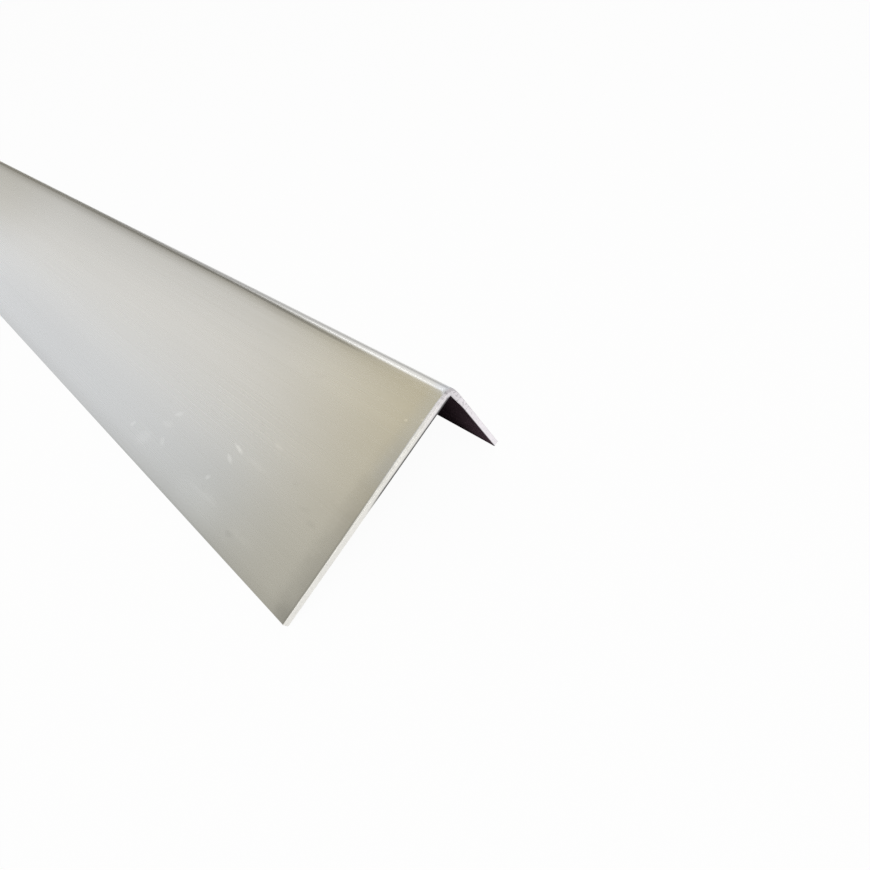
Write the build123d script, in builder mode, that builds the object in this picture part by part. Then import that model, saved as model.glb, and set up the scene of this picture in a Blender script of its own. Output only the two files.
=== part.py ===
"""Unequal metal angle section: one straight length of 100 x 50 x 3 mm stock.

It lies as such a length rests by itself on a level floor: heel up, both toes down,
like a low ridge. +X runs along the length, the long leg slopes down towards -Y and
the short leg towards +Y. The origin is the centre of the footprint, on the floor.
"""
import os
from math import atan2, cos, degrees, sin

from build123d import *

# driving dimensions, in millimetres
long_leg = 100.0  # outside width of the wide leg, sharp corner to toe
short_leg = 50.0  # outside width of the narrow leg
wall = 3.0  # both legs, and through the bend
length = 1000.0  # a cut length from the stock rack
root_radius = 0.8  # inside the corner
toe_radius = 0.3  # broken edges of the two toes

# the heel is concentric with the root, so the wall keeps its thickness round the corner
heel_radius = root_radius + wall

# slope of the long leg when both toes touch the floor
slope = atan2(short_leg - wall, long_leg - wall)

# where the sharp corner of the heel stands: the toes' lowest points at Z 0, the
# footprint centred on Y 0, and the length centred on X 0
corner_height = (
    (long_leg - toe_radius) * sin(slope) + (wall - toe_radius) * cos(slope) + toe_radius
)
long_reach = (long_leg - toe_radius) * cos(slope) - toe_radius * sin(slope) + toe_radius
short_reach = (short_leg - toe_radius) * sin(slope) - toe_radius * cos(slope) + toe_radius
corner_shift = (long_reach - short_reach) / 2

# the plane of the section: its X runs down the long leg, its Y down the short leg
section_plane = Plane(
    origin=(-length / 2, corner_shift, corner_height),
    x_dir=(0, -cos(slope), -sin(slope)),
    z_dir=(1, 0, 0),
)

heel = (0, 0)
root = (wall, wall)
long_toe = [(long_leg, 0), (long_leg, wall)]
short_toe = [(wall, short_leg), (0, short_leg)]


with BuildPart() as angle_section:
    with BuildSketch(section_plane) as section:
        with BuildLine():
            Polyline(heel, *long_toe, root, *short_toe, close=True)
        make_face()
        corners = section.vertices()
        fillet(corners.sort_by_distance(heel)[0], heel_radius)
        corners = section.vertices()
        fillet(corners.sort_by_distance(root)[0], root_radius)
        for toe_corner in long_toe + short_toe:
            corners = section.vertices()
            fillet(corners.sort_by_distance(toe_corner)[0], toe_radius)
    extrude(amount=length)

angle_section.part.label = "angle_section"

os.makedirs("parts", exist_ok=True)
export_step(angle_section.part, "parts/angle_section.step")

box = angle_section.part.bounding_box()
print(f"slope of the long leg {degrees(slope):.2f} degrees")
print(f"size {box.size.X:.2f} x {box.size.Y:.2f} x {box.size.Z:.2f} mm")
print(f"section area {angle_section.part.volume / length:.2f} mm2")
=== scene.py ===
"""Looks of the metal angle section: satin outside faces with some painted light and shade, inside
faces painted dark as shade, and sawn ends.

Everything is in metres in the row frame, and the materials work in millimetres. A point of
the stock is also given as (along, u, v): along runs from the near sawn end, u down the long
leg from the sharp corner of the heel and v down the short leg.
"""

from math import atan2, cos, radians, sin

import bmesh
import bpy
import numpy as np
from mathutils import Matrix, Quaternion, Vector


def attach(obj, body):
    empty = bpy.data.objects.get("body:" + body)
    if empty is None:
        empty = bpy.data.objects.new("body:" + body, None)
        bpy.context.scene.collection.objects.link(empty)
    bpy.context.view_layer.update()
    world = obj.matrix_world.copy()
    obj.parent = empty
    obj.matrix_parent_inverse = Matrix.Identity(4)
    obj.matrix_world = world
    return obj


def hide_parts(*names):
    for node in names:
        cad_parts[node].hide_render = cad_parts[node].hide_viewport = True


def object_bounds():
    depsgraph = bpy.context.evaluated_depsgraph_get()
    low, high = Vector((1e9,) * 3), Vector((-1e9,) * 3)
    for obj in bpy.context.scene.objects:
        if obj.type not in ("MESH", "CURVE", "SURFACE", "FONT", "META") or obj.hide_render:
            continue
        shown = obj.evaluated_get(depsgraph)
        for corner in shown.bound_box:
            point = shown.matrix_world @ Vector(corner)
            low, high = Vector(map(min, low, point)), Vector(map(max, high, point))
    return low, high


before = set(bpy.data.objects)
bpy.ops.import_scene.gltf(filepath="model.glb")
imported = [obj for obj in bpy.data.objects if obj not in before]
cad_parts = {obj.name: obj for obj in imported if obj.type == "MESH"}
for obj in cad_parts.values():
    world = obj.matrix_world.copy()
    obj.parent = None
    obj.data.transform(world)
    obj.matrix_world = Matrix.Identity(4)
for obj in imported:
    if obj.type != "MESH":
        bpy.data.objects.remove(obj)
cad_low, cad_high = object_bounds()

MM = 0.001

# ---------------------------------------------------------------- the section's sizes
LONG_LEG = 100 * MM
SHORT_LEG = 50 * MM
WALL = 3 * MM
ROOT_RADIUS = 0.8 * MM
HEEL_RADIUS = ROOT_RADIUS + WALL
TOE_RADIUS = 0.3 * MM
SLOPE = atan2(SHORT_LEG - WALL, LONG_LEG - WALL)

# each outside face turns gently between these places, before the tight round of the heel
ROLL_START = 12 * MM
ROLL_END = 4.3 * MM
ROLL_ANGLE = 7.0

# the filed outer edge of the sawn ends: how far it reaches along the stock on the short leg
# and at the long toe, between which places on the long leg it narrows, and its depth for
# each millimetre along
FILED_WIDE = 1.15 * MM
FILED_NARROW = 0.15 * MM
FILED_PLACES = (10 * MM, 90 * MM)
FILED_DEPTH = 0.5

# the burr left on the inner edge of the short leg beside the root, and the plain broken edge
# elsewhere inside
BURR_REACH = 1.2 * MM
BURR_PLACES = (1 * MM, 8 * MM)
EDGE_BREAK = 0.12 * MM

# how uneven the worked edges are, and how deep the saw leaves its marks
EDGE_RAGGED = 0.15
SAW_DEPTH = 0.03 * MM
SAW_SEED = 5

# the sharp corner of the heel, from the CAD box that the toes and the heel touch
CORNER_HEIGHT = cad_high.z + HEEL_RADIUS * (sin(SLOPE) + cos(SLOPE) - 1)
CORNER_SHIFT = (
    cad_low.y + (LONG_LEG - TOE_RADIUS) * cos(SLOPE) - TOE_RADIUS * sin(SLOPE) + TOE_RADIUS
)
NEAR_END = cad_high.x
LENGTH = cad_high.x - cad_low.x

# ---------------------------------------------------------------- how finely the mesh is cut
LONG_STEPS = 60
SHORT_STEPS = 26
ROLL_STEPS = 16
BEND_STEPS = 24
TOE_STEPS = 6
CUT_STEPS = 8
# the rows of points across a worked edge, as shares of the way to the sawn face
EDGE_SHARES = (0, 0.12, 0.6, 1)
# the rows of points along the stock, as shares of its length, close together at the ends
END_SHARES = np.array([0, 0.0006, 0.002, 0.005, 0.01])
STOP_SHARES = np.concatenate([END_SHARES, np.linspace(0.02, 0.98, 49), 1 - END_SHARES[::-1]])
WELD_DISTANCE = 0.0001 * MM
SHARP_ANGLE = radians(35)

# the order of the materials on the piece
SATIN, DARK, SAWN = range(3)

# ---------------------------------------------------------------- camera
CAMERA_PLACE = Vector((0.6154, -0.0714, 0.1680))
CAMERA_AZIMUTH = radians(50.98)
CAMERA_ELEVATION = radians(42.81)
CAMERA_ROLL = radians(-9.77)
CAMERA_LENS = 23.07
CAMERA_SENSOR = 36.0
CAMERA_NEAREST = 5 * MM

# ---------------------------------------------------------------- studio
# the share of the studio's white that reaches the object as diffuse light
DIFFUSE_SHARE = 0.6
# the share of the floor that is plain white when seen or mirrored; the rest takes the light
# and the object's shadow
FLOOR_WHITE_SHARE = 0.96
FLOOR_COLOUR = (0.9, 0.9, 0.9, 1)
FLOOR_REACH = 25.0
FLOOR_LEVEL = -0.05 * MM
STUDIO_CENTRE = Vector((0.35, 0, 0))
# cards round the object, nearest first: bearing from -X towards -Y and height, both in
# degrees, the width of the soft border, and the tone
CARDS = {
    "flag": ((-24, 3), (0, 45), 11, (0.30, 0.29, 0.26)),
    "window": ((-28, -9), (28, 49), 4, (3.1, 3.15, 3.25)),
    "fill": ((-73, -31), (22, 55), 23, (1.19, 1.19, 1.19)),
    "overhead": ((-10, 40), (41, 90), 20, (0.69, 0.62, 0.43)),
    "side": ((30, 142), (0, 60), 24, (0.58, 0.57, 0.51)),
    "low_side": ((-98, -16), (0, 30), 7, (0.55, 0.55, 0.56)),
    "back": ((-144, -100), (0, 52), 34, (0.58, 0.58, 0.57)),
    "high_back": ((-150, -82), (52, 80), 30, (0.72, 0.72, 0.71)),
}
CARD_DISTANCE = 12.0
CARD_SPACING = 0.5
CARD_COLUMNS = 48
CARD_ROWS = 32
HORIZON, ZENITH = 0.0, 90.0

KEY_PLACE = Vector((1.5, -0.7, 1.5))
KEY_TARGET = Vector((0.4, 0, 0))
KEY_SIZE = 0.9
KEY_POWER = 12


# ---------------------------------------------------------------- the mesh
def soft_step(value):
    value = np.clip(value, 0, 1)
    return value * value * (3 - 2 * value)


def eased(value, places, low, high):
    """A smooth step from low at the first place to high at the second."""
    share = soft_step((value - places[0]) / (places[1] - places[0]))
    return low + (high - low) * share


def to_row(stock):
    """Row-frame points of (along, u, v) points."""
    along, u, v = np.moveaxis(stock, -1, 0)
    y = CORNER_SHIFT - u * cos(SLOPE) + v * sin(SLOPE)
    z = CORNER_HEIGHT - u * sin(SLOPE) - v * cos(SLOPE)
    return np.stack([NEAR_END - along, y, z], axis=-1)


def arc(centre, radius, start, end, steps):
    """Points and normals on an arc of the section, angles in degrees."""
    angles = np.radians(np.linspace(start, end, steps + 1))
    normals = np.stack([np.cos(angles), np.sin(angles)], axis=1)
    return np.array(centre) + radius * normals, normals


def straight(start, end, normal, steps):
    """Points strictly between two ends of a straight side, with their normal."""
    shares = np.linspace(0, 1, steps + 1)[1:-1, None]
    points = np.array(start) * (1 - shares) + np.array(end) * shares
    return points, np.tile(normal, (len(points), 1))


def roll():
    """The gently turning strip beside the heel on the long leg, without its ends."""
    share = np.linspace(0, 1, ROLL_STEPS + 1)[1:-1]
    width = ROLL_START - ROLL_END
    turn = radians(ROLL_ANGLE)
    u = ROLL_START - width * share
    v = width * turn * share**3 / 3
    angle = turn * share**2
    return np.stack([u, v], axis=1), np.stack([-np.sin(angle), -np.cos(angle)], axis=1)


def swapped(side):
    """The same side mirrored onto the other leg, in the opposite order."""
    return tuple(part[::-1, ::-1] for part in side)


def heel_round():
    """The tight round of the heel, between the two gently turning strips."""
    turn = radians(ROLL_ANGLE)
    drop = (ROLL_START - ROLL_END) * turn / 3
    radius = (ROLL_END - drop) / (cos(turn) - sin(turn))
    centre = drop + radius * cos(turn)
    return arc((centre, centre), radius, -90 - ROLL_ANGLE, -180 + ROLL_ANGLE, BEND_STEPS)


def root_round():
    """The round inside the corner, with its normals turned to the open side."""
    points, normals = arc((HEEL_RADIUS, HEEL_RADIUS), ROOT_RADIUS, -90, -180, BEND_STEPS)
    return points, -normals


def section_lines():
    """Matching points and normals of the outside and the inside line of the section, both
    from the middle of the long leg's toe to the middle of the short leg's toe."""
    toe = TOE_RADIUS
    long_middle = (np.array([[LONG_LEG, WALL / 2]]), np.array([[1.0, 0.0]]))
    short_middle = (np.array([[WALL / 2, SHORT_LEG]]), np.array([[0.0, 1.0]]))
    outside = [
        long_middle,
        arc((LONG_LEG - toe, toe), toe, 0, -90, TOE_STEPS),
        straight((LONG_LEG - toe, 0), (ROLL_START, 0), (0, -1), LONG_STEPS + 1),
        roll(),
        heel_round(),
        swapped(roll()),
        straight((0, ROLL_START), (0, SHORT_LEG - toe), (-1, 0), SHORT_STEPS + 1),
        arc((toe, SHORT_LEG - toe), toe, 180, 90, TOE_STEPS),
        short_middle,
    ]
    inside = [
        long_middle,
        arc((LONG_LEG - toe, WALL - toe), toe, 0, 90, TOE_STEPS),
        straight((LONG_LEG - toe, WALL), (HEEL_RADIUS, WALL), (0, 1), LONG_STEPS + ROLL_STEPS),
        root_round(),
        straight((WALL, HEEL_RADIUS), (WALL, SHORT_LEG - toe), (1, 0), SHORT_STEPS + ROLL_STEPS),
        arc((WALL - toe, SHORT_LEG - toe), toe, 0, 90, TOE_STEPS),
        short_middle,
    ]
    return [tuple(np.concatenate(parts) for parts in zip(*line)) for line in (outside, inside)]


def section_at(along, line):
    """A row of (along, u, v) points: a section line at one or many places along."""
    return np.concatenate([np.broadcast_to(along, (len(line), 1)), line], axis=1)


def add_sheet(points, faces, slots, grid, columns_slot):
    """Append a grid of points and its quads; columns_slot gives each column's material."""
    rows, columns = grid.shape[:2]
    first = len(points)
    points.extend(grid.reshape(-1, 3))
    for row in range(rows - 1):
        start = first + row * columns
        for column in range(columns - 1):
            corner = start + column
            faces.append((corner, corner + 1, corner + columns + 1, corner + columns))
            slots.append(columns_slot[column])


def outer_reach(line):
    """How far along the stock the filed outer edge reaches at each point of the section. In
    the middle of each toe it meets the inner edge."""
    u, v = line[:, :1], line[:, 1:]
    reach = eased(u - v, FILED_PLACES, FILED_WIDE, FILED_NARROW)
    reach[[0, -1]] = EDGE_BREAK
    return reach


def inner_reach(line):
    """The same for the inner edge, with the burr on the short leg beside the root."""
    u, v = line[:, :1], line[:, 1:]
    beside_root = eased(v - u, BURR_PLACES, 1, 0) * (v > u)
    return EDGE_BREAK + BURR_REACH * beside_root


def worked_edge(rng, line, normal, reach, depth, place, inward):
    """The grid of one worked edge of a sawn end, from the stock's side to the sawn face."""
    ragged = depth * rng.uniform(1 - EDGE_RAGGED, 1 + EDGE_RAGGED, (len(line), 1))
    ragged[[0, -1]] = EDGE_BREAK
    rows = []
    for share in EDGE_SHARES:
        along = place + inward * reach * (1 - share)
        rows.append(section_at(along, line - normal * ragged * share))
    return np.stack(rows)


def rough_cut(rng, outer, inner, place, inward):
    """The grid of the cut across the wall, with the saw's marks, between its two borders."""
    rows = []
    for share in np.linspace(0, 1, CUT_STEPS + 1):
        line = outer * (1 - share) + inner * share
        depth = np.zeros((len(line), 1))
        if 0 < share < 1:
            depth[1:-1] = rng.uniform(0, SAW_DEPTH, (len(line) - 2, 1))
        rows.append(section_at(place + inward * depth, line))
    return np.stack(rows)


def sawn_end(rng, lines, place, inward):
    """The grids of one sawn end: its two worked edges, then the cut across the wall."""
    (outer, outer_normal), (inner, inner_normal) = lines
    reach = outer_reach(outer)
    filed = worked_edge(rng, outer, outer_normal, reach, FILED_DEPTH * reach, place, inward)
    depth = np.full((len(inner), 1), EDGE_BREAK)
    broken = worked_edge(rng, inner, inner_normal, inner_reach(inner), depth, place, inward)
    cut = rough_cut(rng, filed[-1][:, 1:], broken[-1][:, 1:], place, inward)
    return filed, broken, cut


def stock_sheets():
    """The points, faces and material slots of the outside, the inside and the sawn ends."""
    rng = np.random.default_rng(SAW_SEED)
    lines = section_lines()
    (outer, _), (inner, _) = lines
    columns = len(outer) - 1
    toe_slots = [SATIN] * (TOE_STEPS + 1)
    inside_slots = toe_slots + [DARK] * (columns - 2 * len(toe_slots)) + toe_slots
    sides = (
        (outer, outer_reach(outer), [SATIN] * columns),
        (inner, inner_reach(inner), inside_slots),
    )
    points, faces, slots = [], [], []
    for line, reach, line_slots in sides:
        stops = [reach + (LENGTH - 2 * reach) * share for share in STOP_SHARES]
        grid = np.stack([section_at(stop, line) for stop in stops])
        add_sheet(points, faces, slots, grid, line_slots)
    burred = inner_reach(inner)[:, 0] > 2 * EDGE_BREAK
    broken_slots = [SAWN if burr else slot for burr, slot in zip(burred, inside_slots)]
    end_slots = ([SAWN] * columns, broken_slots, [SAWN] * columns)
    for place, inward in ((0.0, 1), (LENGTH, -1)):
        for grid, grid_slots in zip(sawn_end(rng, lines, place, inward), end_slots):
            add_sheet(points, faces, slots, grid, grid_slots)
    return np.array(points), faces, slots


def weld(mesh):
    """Join the points that the sheets share and turn all faces outward."""
    joined = bmesh.new()
    joined.from_mesh(mesh)
    bmesh.ops.remove_doubles(joined, verts=joined.verts, dist=WELD_DISTANCE)
    bmesh.ops.recalc_face_normals(joined, faces=joined.faces)
    joined.to_mesh(mesh)
    joined.free()


def link(piece):
    bpy.context.scene.collection.objects.link(piece)
    return piece


def build_stock():
    """The whole length as one closed mesh with worked ends."""
    stock, faces, slots = stock_sheets()
    mesh = bpy.data.meshes.new("angle_stock")
    mesh.from_pydata(to_row(stock).tolist(), [], faces)
    mesh.polygons.foreach_set("material_index", slots)
    mesh.polygons.foreach_set("use_smooth", [True] * len(faces))
    place = mesh.attributes.new("stock", "FLOAT_VECTOR", "POINT")
    place.data.foreach_set("vector", (stock / MM).astype(np.float32).ravel())
    weld(mesh)
    mesh.set_sharp_from_angle(angle=SHARP_ANGLE)
    return link(bpy.data.objects.new("angle_stock", mesh))


# ---------------------------------------------------------------- nodes
def add(tree, kind, inputs, **settings):
    """Add a shader node; an input is a value or another node's output socket."""
    node = tree.nodes.new("ShaderNode" + kind)
    for name, value in settings.items():
        setattr(node, name, value)
    for name, value in inputs.items():
        if isinstance(value, bpy.types.NodeSocket):
            tree.links.new(value, node.inputs[name])
        else:
            node.inputs[name].default_value = value
    return node


def calc(tree, operation, *values):
    return add(tree, "Math", dict(enumerate(values)), operation=operation).outputs[0]


def product(tree, *values):
    result = values[0]
    for value in values[1:]:
        result = calc(tree, "MULTIPLY", result, value)
    return result


def total(tree, *values):
    result = values[0]
    for value in values[1:]:
        result = calc(tree, "ADD", result, value)
    return result


def without(tree, shade):
    """The factor that darkens by a shade: 1 less the shade."""
    return calc(tree, "SUBTRACT", 1.0, shade)


def fade(tree, value, start, end, low, high):
    """A smooth step from low at start to high at end."""
    ramp = add(tree, "MapRange", {
        "Value": value, "From Min": start, "From Max": end, "To Min": low, "To Max": high,
    }, interpolation_type="SMOOTHSTEP")
    return ramp.outputs[0]


def swing(tree, value, amount):
    """A noise value, mostly between a quarter and three quarters, turned into a factor that
    swings by amount about 1."""
    ramp = add(tree, "MapRange", {
        "Value": value, "From Min": 0.25, "From Max": 0.75,
        "To Min": 1 - amount, "To Max": 1 + amount,
    })
    return ramp.outputs[0]


def stock_place(tree):
    """The attribute with the place on the stock in millimetres: its vector, the distance
    along, u, v, and the distance round the section, negative on the short leg."""
    vector = add(tree, "Attribute", {}, attribute_name="stock").outputs["Vector"]
    split = add(tree, "SeparateXYZ", {0: vector})
    along, u, v = split.outputs
    return vector, along, u, v, calc(tree, "SUBTRACT", u, v)


def toe_reach(tree, u, v):
    """The distance down either leg, counted so that both toes are at the long leg's width."""
    return calc(tree, "MAXIMUM", u, calc(tree, "ADD", v, LONG_LEG / MM - SHORT_LEG / MM))


def noise(tree, along, across, seed, detail=3.0):
    """Noise in a plane, from two coordinates already at the pattern's own scale."""
    place = add(tree, "CombineXYZ", {0: along, 1: across, 2: float(seed)}).outputs[0]
    texture = add(tree, "TexNoise", {
        "Vector": place, "Scale": 1.0, "Detail": detail, "Roughness": 0.5,
    })
    return texture.outputs["Fac"]


def stretched(tree, along, across, along_size, across_size, seed, detail=3.0):
    """Noise whose grains have the given sizes in millimetres."""
    return noise(
        tree,
        calc(tree, "DIVIDE", along, along_size),
        calc(tree, "DIVIDE", across, across_size),
        seed,
        detail,
    )


def new_material(name):
    material = bpy.data.materials.new(name)
    material.use_nodes = True
    tree = material.node_tree
    return material, tree, tree.nodes["Principled BSDF"]


def tinted(tree, colour, factor):
    """A colour scaled by a factor that varies over the surface."""
    scale = add(tree, "VectorMath", {0: colour, "Scale": factor}, operation="SCALE")
    return scale.outputs[0]


def blend(tree, share, first, second):
    """One colour turning into another as the share goes from 0 to 1."""
    mix = add(tree, "Mix", {0: share, 6: first, 7: second}, data_type="RGBA")
    return mix.outputs[2]


def bumped(tree, shader, height, strength, distance):
    """Give a shader fine relief from a height pattern."""
    bump = add(tree, "Bump", {"Height": height, "Strength": strength, "Distance": distance})
    tree.links.new(bump.outputs[0], shader.inputs["Normal"])


# ---------------------------------------------------------------- materials
# In the fades below, places are millimetres along the stock, down a leg (side, u, v) or
# round the section (around), and the last two numbers are the values before and after.
# satin colours; the differences between them are painted reflection tints
SATIN_WARM = (0.677, 0.667, 0.638, 1)
SATIN_COOL = (0.646, 0.660, 0.676, 1)
SATIN_BLUISH_TINT = (0.675, 0.685, 0.705, 1)
SATIN_FAR = (0.682, 0.662, 0.598, 1)
SATIN_ROUGHNESS = 0.27
FILED_ROUGHNESS = 0.4
# the inside's near-black colour is painted shade
INSIDE_SHADE_COLOUR = (0.0125, 0.0080, 0.0102)
DARK_ROUGHNESS = 0.75
SAWN_SHORT_LEG = (0.865, 0.83, 0.86, 1)
SAWN_LONG_LEG = (0.845, 0.83, 0.79, 1)
SAWN_ROUGHNESS = 0.5

# the grain of each noise pattern, millimetres along the stock and round the section
DIE_LINES = (260, 1.1)
BROAD_LINES = (420, 7)
CLOUD = (60, 22)
FINE_GRAIN = (2.2, 0.35)
RAGGED_CUT = (5, 5)
RAGGED_MARK = (2.2, 1.2)
INSIDE_STREAKS = (180, 2)
INSIDE_PATCHES = (30, 12)
# the same on the sawn faces, millimetres down the long leg and down the short leg
SAWN_SPECKS = (1 / 0.9, 1 / 0.9)
SAW_MARKS = (1 / 3.5, 1 / 0.4)
SAWN_CLOUDS = (9, 9)
# how far the ragged border of the darker band at the cut swings, in millimetres
CUT_RAGGED = 6.0

# rubbed spots, streaks and darker smears on the long leg, and in the last seven, broad ones, patches
# of
# painted light and shade: millimetres along and down, half length, half width, turn in degrees, and
# how much lighter or darker
MARKS = (
    (70.5, 65, 3.5, 0.75, -10, 0.21),
    (71.5, 70.5, 2.5, 1, -20, 0.15),
    (75.5, 82, 1.5, 1, 35, 0.13),
    (143, 88, 2, 1.25, 40, 0.1),
    (120, 77, 4.5, 1.5, 10, 0.05),
    (118, 70.5, 3, 1.25, 30, 0.08),
    (129, 89, 5, 3.25, 25, 0.055),
    (115.5, 84.5, 2.5, 1.25, -30, 0.08),
    (56, 65.5, 7.5, 1.25, 0, 0.04),
    (52, 54.5, 2.5, 1, -5, 0.055),
    (72.5, 88.5, 13, 1, 0, 0.03),
    (66, 87.5, 6, 1, 0, 0.03),
    (39.5, 89.5, 7.5, 1.5, 0, 0.035),
    (8, 19.5, 0.75, 0.5, 25, 0.2),
    (2, 16.5, 0.5, 0.5, 25, 0.2),
    (57.5, 22, 4.5, 1.25, 25, -0.03),
    (33, 61.5, 1.5, 1, 30, -0.04),
    (22, 66.5, 3, 1, 10, -0.04),
    (15.5, 69, 2.5, 1, 0, -0.05),
    (46, 92, 2.5, 1, 0, -0.07),
    (129.5, 68.5, 2, 1, 0, -0.03),
    (68, 51, 1.25, 1, 0, -0.035),
    (74.5, 86, 1.5, 0.75, 0, -0.03),
    (3, 97, 4, 3, 0, -0.1),
    # painted light and shade: broad lighter and darker patches
    (35, 19, 48, 9, 0, 0.05),
    (150, 13, 110, 7, 0, -0.02),
    (330, 92, 150, 24, 0, -0.05),
    (580, 30, 150, 42, 0, -0.13),
    (74, 93, 16, 9, 0, 0.045),
    (160, 6, 40, 3, 0, 0.045),
    (100, 5.5, 18, 2.5, 0, -0.035),
)
# how far a mark's outline is pushed about in millimetres, and where it starts to fade and is
# gone, as shares of its half size
MARK_RAGGED = 1.1
MARK_CORE = 0.3
MARK_RIM = 1.5


def rubs_and_painted_patches(tree, vector, along, around):
    """The sum of the marks' soft, slightly ragged spots: rubbed marks and broad painted light and
    shade.
    """
    ragged = stretched(tree, along, around, *RAGGED_MARK, seed=6, detail=2.0)
    push = add(tree, "CombineXYZ", {
        0: product(tree, calc(tree, "SUBTRACT", ragged, 0.5), 2 * MARK_RAGGED),
        1: product(tree, calc(tree, "SUBTRACT", 0.5, ragged), MARK_RAGGED),
    }).outputs[0]
    moved = add(tree, "VectorMath", {0: vector, 1: push}, operation="ADD").outputs[0]
    spots = 0.0
    for along_centre, u_centre, half_length, half_width, turn, gain in MARKS:
        place = add(tree, "Mapping", {
            "Vector": moved,
            "Location": (along_centre, u_centre, 0),
            "Rotation": (0, 0, radians(turn)),
            "Scale": (half_length, half_width, 1),
        }, vector_type="TEXTURE").outputs[0]
        reach = add(tree, "VectorMath", {0: place}, operation="LENGTH").outputs["Value"]
        spots = calc(tree, "ADD", fade(tree, reach, MARK_CORE, MARK_RIM, gain, 0), spots)
    return spots


def cut_darkening(tree, along, around, side, past_filed):
    """The factor that darkens the metal beside the near saw cut: a ragged band, darker down the legs,
    and a thin line past the filed edge in the lower half of the long leg."""
    ragged = stretched(tree, along, around, *RAGGED_CUT, seed=5)
    push = product(tree, calc(tree, "SUBTRACT", ragged, 0.5), CUT_RAGGED)
    near_cut = total(tree, along, push)
    band = product(tree, fade(tree, side, 6, 45, 0.04, 0.19), fade(tree, near_cut, 0, 13, 1, 0))
    line_depth = fade(tree, side, 42, 60, 0.02, 0.16)
    line = product(tree, line_depth, fade(tree, past_filed, 0.2, 1.2, 1, 0))
    return product(tree, without(tree, band), without(tree, line))


def heel_painted_shade(tree, along, side):
    """The factor for painted shade by the heel, standing in for dark reflections: a narrow dark line
    that comes nearer to the corner and weakens along the stock, and painted shade on the round of the
    heel past the near stretch."""
    line_place = fade(tree, along, 58, 158, 4.55, 2.95)
    line_reach = calc(tree, "ABSOLUTE", calc(tree, "SUBTRACT", side, line_place))
    line = product(
        tree,
        fade(tree, line_reach, 0.25, 0.95, 0.30, 0),
        fade(tree, along, 35, 65, 0, 1),
        fade(tree, along, 150, 420, 1, 0.2),
    )
    shaded_round = product(tree, fade(tree, side, 1.8, 3.2, 0.12, 0), fade(tree, along, 90, 150, 0, 1))
    return without(tree, calc(tree, "ADD", line, shaded_round))


def satin_hue(tree, along, side):
    """The satin metal's colour with painted reflection tints: warm by the heel and cool down the
    legs, bluish in the upper half beside the near saw cut, and warmest in the upper half far along."""
    cool = product(tree, fade(tree, side, 30, 95, 0, 1), fade(tree, along, 8, 80, 0, 1))
    bluish_tint = product(tree, fade(tree, along, 2, 10, 1, 0), fade(tree, side, 38, 50, 1, 0))
    far = product(tree, fade(tree, along, 380, 560, 0, 1), fade(tree, side, 30, 60, 1, 0))
    hue = blend(tree, cool, SATIN_WARM, SATIN_COOL)
    hue = blend(tree, bluish_tint, hue, SATIN_BLUISH_TINT)
    return blend(tree, far, hue, SATIN_FAR)


def satin_outside():
    """Mill-finished metal: die lines along the stock, soft cloudiness, painted reflection tints, a
    darker band at the saw cut and at the toes, painted shade by the heel, and rubbed marks with broad
    patches of painted light and shade."""
    material, tree, shader = new_material("satin_outside")
    vector, along, u, v, around = stock_place(tree)
    side = calc(tree, "ABSOLUTE", around)
    filed_start, filed_end = (place / MM for place in FILED_PLACES)
    filed_reach = fade(tree, side, filed_start, filed_end, FILED_WIDE / MM, FILED_NARROW / MM)
    past_filed = calc(tree, "SUBTRACT", along, filed_reach)

    die_lines = stretched(tree, along, around, *DIE_LINES, seed=1, detail=4.0)
    broad_lines = stretched(tree, along, around, *BROAD_LINES, seed=2, detail=2.0)
    cloud = stretched(tree, along, around, *CLOUD, seed=3)
    grain = stretched(tree, along, around, *FINE_GRAIN, seed=4, detail=2.0)

    tone = product(
        tree,
        swing(tree, die_lines, 0.006),
        swing(tree, broad_lines, 0.010),
        swing(tree, cloud, 0.018),
        swing(tree, grain, 0.004),
        cut_darkening(tree, along, around, side, past_filed),
        fade(tree, toe_reach(tree, u, v), 92, 99.6, 1, 0.92),
        # painted shade: a dark reflection line and a darker round by the heel
        heel_painted_shade(tree, along, side),
        total(tree, rubs_and_painted_patches(tree, vector, along, around), 1.0),
    )
    tree.links.new(tinted(tree, satin_hue(tree, along, side), tone), shader.inputs["Base Color"])
    shader.inputs["Metallic"].default_value = 1.0
    filed_heel = product(tree, fade(tree, past_filed, 0, 1.6, 1, 0), fade(tree, side, 3.5, 5.5, 1, 0))
    rough = total(
        tree,
        product(tree, swing(tree, die_lines, 0.08), swing(tree, cloud, 0.06), SATIN_ROUGHNESS),
        product(tree, filed_heel, FILED_ROUGHNESS),
    )
    tree.links.new(rough, shader.inputs["Roughness"])
    height = total(tree, die_lines, product(tree, broad_lines, 0.5), product(tree, grain, 0.2))
    bumped(tree, shader, height, strength=0.013, distance=1 * MM)
    return material


def painted_shade_inside():
    """Painted shade inside the angle: a near-black colour stands in for the shade under the angle,
    painted lighter near the toes and at the near end, where more light reaches in."""
    material, tree, shader = new_material("painted_shade_inside")
    _, along, u, v, around = stock_place(tree)
    streaks = stretched(tree, along, around, *INSIDE_STREAKS, seed=11, detail=4.0)
    patches = stretched(tree, along, around, *INSIDE_PATCHES, seed=12, detail=4.0)
    tone = product(
        tree,
        swing(tree, streaks, 0.2),
        swing(tree, patches, 0.2),
        # painted light: lighter towards the toes and at the near end, where light reaches in
        fade(tree, toe_reach(tree, u, v), 55, 99, 1.0, 2.4),
        fade(tree, along, 0, 20, 3.3, 1.2),
    )
    tree.links.new(tinted(tree, INSIDE_SHADE_COLOUR, tone), shader.inputs["Base Color"])
    shader.inputs["Specular IOR Level"].default_value = 0.0
    rough = product(tree, swing(tree, patches, 0.1), DARK_ROUGHNESS)
    tree.links.new(rough, shader.inputs["Roughness"])
    height = total(tree, streaks, patches)
    bumped(tree, shader, height, strength=0.15, distance=0.5 * MM)
    return material


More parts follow.
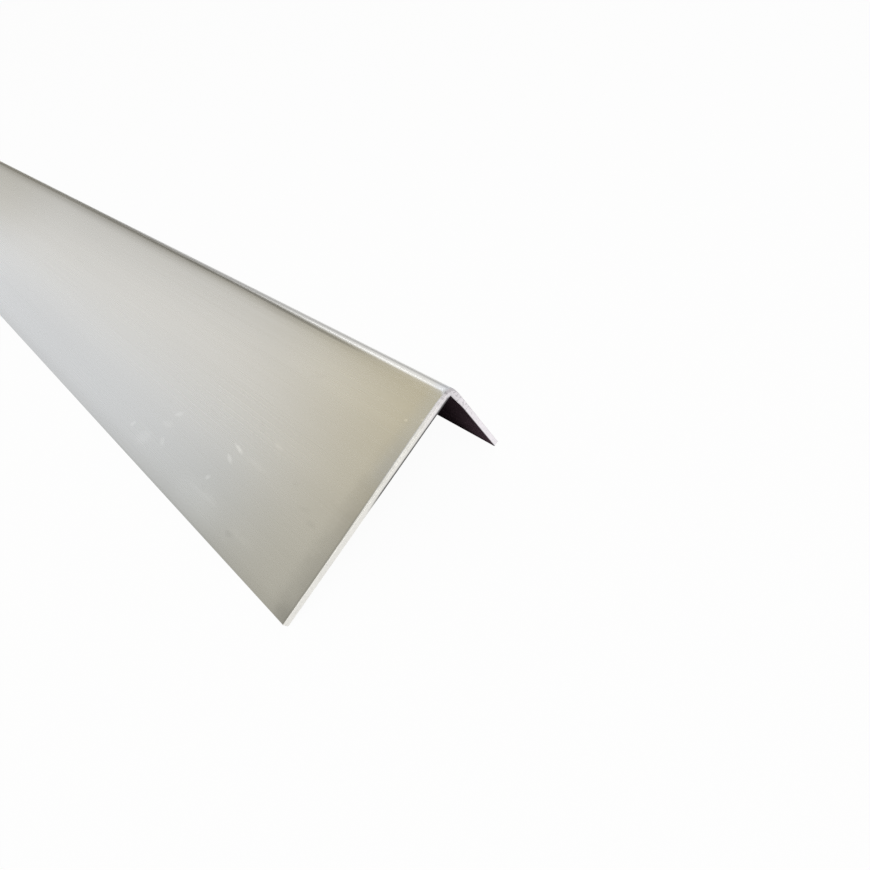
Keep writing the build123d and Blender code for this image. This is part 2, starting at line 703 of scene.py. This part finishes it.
def inner_edge_painted_shade(tree, u, v, around):
    """The painted shade of the dark line along the sawn face's inner edge, which stands in for the
    shadow on the edge. It runs from the root to the middle of the long leg, and on the short leg it
    starts past the burr."""
    depth = calc(tree, "MINIMUM", u, v)
    start = fade(tree, around, 0, 4, 2.5, 1.65)
    end = fade(tree, around, 0, 4, 2.8, 2.55)
    on_short_leg = fade(tree, around, -12, -6, 0.85, 0)
    on_long_leg = fade(tree, around, -0.5, 2.5, 0, 0.85)
    return product(
        tree,
        fade(tree, depth, start, end, 0, 1),
        total(tree, on_short_leg, on_long_leg),
        fade(tree, around, 42, 54, 1, 0),
    )


def sawn_metal():
    """Freshly sawn metal across the wall: pale, with saw marks, small grey specks, more of them by
    the heel, a painted dark line of shade along the inner edge and a darker filed edge."""
    material, tree, shader = new_material("sawn_metal")
    _, along, u, v, around = stock_place(tree)
    specks = stretched(tree, u, v, *SAWN_SPECKS, seed=21, detail=2.0)
    saw_marks = stretched(tree, u, v, *SAW_MARKS, seed=22)
    clouds = stretched(tree, u, v, *SAWN_CLOUDS, seed=23, detail=2.0)
    speck_shade = product(
        tree,
        fade(tree, specks, 0.36, 0.46, 0.3, 0),
        fade(tree, v, 16, 24, 1, 0.3),
        fade(tree, around, 2, 10, 1, 0.25),
    )
    filed_shade = product(
        tree,
        fade(tree, along, 0.03, 0.06, 0, 0.38),
        fade(tree, around, 0, 4, 0.2, 1),
    )
    tone = product(
        tree,
        without(tree, speck_shade),
        without(tree, inner_edge_painted_shade(tree, u, v, around)),
        fade(tree, calc(tree, "MAXIMUM", u, v), 3, 14, 0.90, 1),
        fade(tree, v, 14, 30, 1, 1.04),
        without(tree, filed_shade),
        swing(tree, saw_marks, 0.04),
        swing(tree, clouds, 0.04),
    )
    hue = blend(tree, fade(tree, around, 0, 24, 0, 1), SAWN_SHORT_LEG, SAWN_LONG_LEG)
    tree.links.new(tinted(tree, hue, tone), shader.inputs["Base Color"])
    shader.inputs["Metallic"].default_value = 1.0
    rough = product(tree, swing(tree, specks, 0.15), SAWN_ROUGHNESS)
    tree.links.new(rough, shader.inputs["Roughness"])
    bumped(tree, shader, saw_marks, strength=0.3, distance=0.2 * MM)
    return material


# ---------------------------------------------------------------- studio
def shown_white(tree):
    """1 for the rays that see the studio itself, 0 for those that carry diffuse light."""
    path = add(tree, "LightPath", {}).outputs
    seen = calc(tree, "MAXIMUM", path["Is Camera Ray"], path["Is Glossy Ray"])
    return calc(tree, "MAXIMUM", seen, path["Is Transmission Ray"])


def studio_strength(tree):
    """The emission strength of the studio: full where it is seen, less as diffuse light."""
    share = add(tree, "MapRange", {
        "Value": shown_white(tree), "To Min": DIFFUSE_SHARE, "To Max": 1.0,
    })
    return share.outputs[0]


def build_world():
    world = bpy.data.worlds.new("studio")
    world.use_nodes = True
    bpy.context.scene.world = world
    background = world.node_tree.nodes["Background"]
    background.inputs["Color"].default_value = (1, 1, 1, 1)
    world.node_tree.links.new(studio_strength(world.node_tree), background.inputs["Strength"])


def card_cover(bearing, height, bearings, heights, border):
    """How much of a card there is at each place: all of it, fading out over its border."""
    cover = soft_step((bearing - bearings[0]) / border + 0.5)
    cover *= soft_step((bearings[1] - bearing) / border + 0.5)
    if heights[0] > HORIZON:
        cover *= soft_step((height - heights[0]) / border + 0.5)
    if heights[1] < ZENITH:
        cover *= soft_step((heights[1] - height) / border + 0.5)
    return cover


def card_material(name, tone):
    """A glow of one tone that is clear where the card's cover runs out."""
    material = bpy.data.materials.new(name)
    material.use_nodes = True
    material.cycles.emission_sampling = "NONE"
    tree = material.node_tree
    tree.nodes.clear()
    glow = add(tree, "Emission", {"Color": (*tone, 1), "Strength": studio_strength(tree)})
    clear = add(tree, "BsdfTransparent", {})
    share = add(tree, "Attribute", {}, attribute_name="cover").outputs["Fac"]
    mix = add(tree, "MixShader", {0: share, 1: clear.outputs[0], 2: glow.outputs[0]})
    add(tree, "OutputMaterial", {"Surface": mix.outputs[0]})
    return material


def build_card(name, bearings, heights, border, tone, distance):
    """A large studio card bent round the object, with a soft border."""
    half = border / 2
    lowest = max(HORIZON, heights[0] - half)
    highest = min(ZENITH, heights[1] + half)
    height, bearing = np.meshgrid(
        np.linspace(lowest, highest, CARD_ROWS + 1),
        np.linspace(bearings[0] - half, bearings[1] + half, CARD_COLUMNS + 1),
        indexing="ij",
    )
    b, h = np.radians(bearing), np.radians(height)
    directions = np.stack([-np.cos(h) * np.cos(b), -np.cos(h) * np.sin(b), np.sin(h)], axis=-1)
    grid = np.array(STUDIO_CENTRE) + distance * directions
    points, faces = [], []
    add_sheet(points, faces, [], grid, [0] * CARD_COLUMNS)
    mesh = bpy.data.meshes.new(name)
    mesh.from_pydata([tuple(point) for point in points], [], faces)
    cover = card_cover(bearing, height, bearings, heights, border)
    attribute = mesh.attributes.new("cover", "FLOAT", "POINT")
    attribute.data.foreach_set("value", cover.astype(np.float32).ravel())
    mesh.materials.append(card_material(name, tone))
    card = link(bpy.data.objects.new(name, mesh))
    card.visible_camera = False


def build_floor():
    """A white floor that keeps the object's shadow."""
    corners = [(-1, -1), (1, -1), (1, 1), (-1, 1)]
    mesh = bpy.data.meshes.new("floor")
    points = [(x * FLOOR_REACH, y * FLOOR_REACH, FLOOR_LEVEL) for x, y in corners]
    mesh.from_pydata(points, [], [(0, 1, 2, 3)])
    floor = link(bpy.data.objects.new("floor", mesh))
    material = bpy.data.materials.new("floor_white")
    material.use_nodes = True
    tree = material.node_tree
    tree.nodes.clear()
    lit = add(tree, "BsdfDiffuse", {"Color": FLOOR_COLOUR})
    white = add(tree, "Emission", {"Strength": 1.0})
    share = calc(tree, "MULTIPLY", shown_white(tree), FLOOR_WHITE_SHARE)
    mix = add(tree, "MixShader", {0: share, 1: lit.outputs[0], 2: white.outputs[0]})
    add(tree, "OutputMaterial", {"Surface": mix.outputs[0]})
    mesh.materials.append(material)


def build_key_lamp():
    data = bpy.data.lights.new("key", "AREA")
    data.shape = "SQUARE"
    data.size = KEY_SIZE
    data.energy = KEY_POWER
    lamp = link(bpy.data.objects.new("key", data))
    lamp.location = KEY_PLACE
    lamp.rotation_mode = "QUATERNION"
    lamp.rotation_quaternion = (KEY_TARGET - KEY_PLACE).to_track_quat("-Z", "Y")


def build_camera():
    data = bpy.data.cameras.new("camera")
    data.lens = CAMERA_LENS
    data.sensor_width = CAMERA_SENSOR
    data.clip_start = CAMERA_NEAREST
    camera = link(bpy.data.objects.new("camera", data))
    look = Vector((
        -sin(CAMERA_AZIMUTH) * cos(CAMERA_ELEVATION),
        cos(CAMERA_AZIMUTH) * cos(CAMERA_ELEVATION),
        -sin(CAMERA_ELEVATION),
    ))
    camera.rotation_mode = "QUATERNION"
    camera.rotation_quaternion = Quaternion(look, -CAMERA_ROLL) @ look.to_track_quat("-Z", "Y")
    camera.location = CAMERA_PLACE
    bpy.context.scene.camera = camera


build_camera()
build_world()
build_floor()
for order, (card_name, card) in enumerate(CARDS.items()):
    build_card(card_name, *card, CARD_DISTANCE + order * CARD_SPACING)
build_key_lamp()

piece = build_stock()
for material in (satin_outside(), painted_shade_inside(), sawn_metal()):
    piece.data.materials.append(material)
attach(piece, "root")
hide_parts("angle_section")

bpy.context.scene.view_settings.view_transform = "Standard"
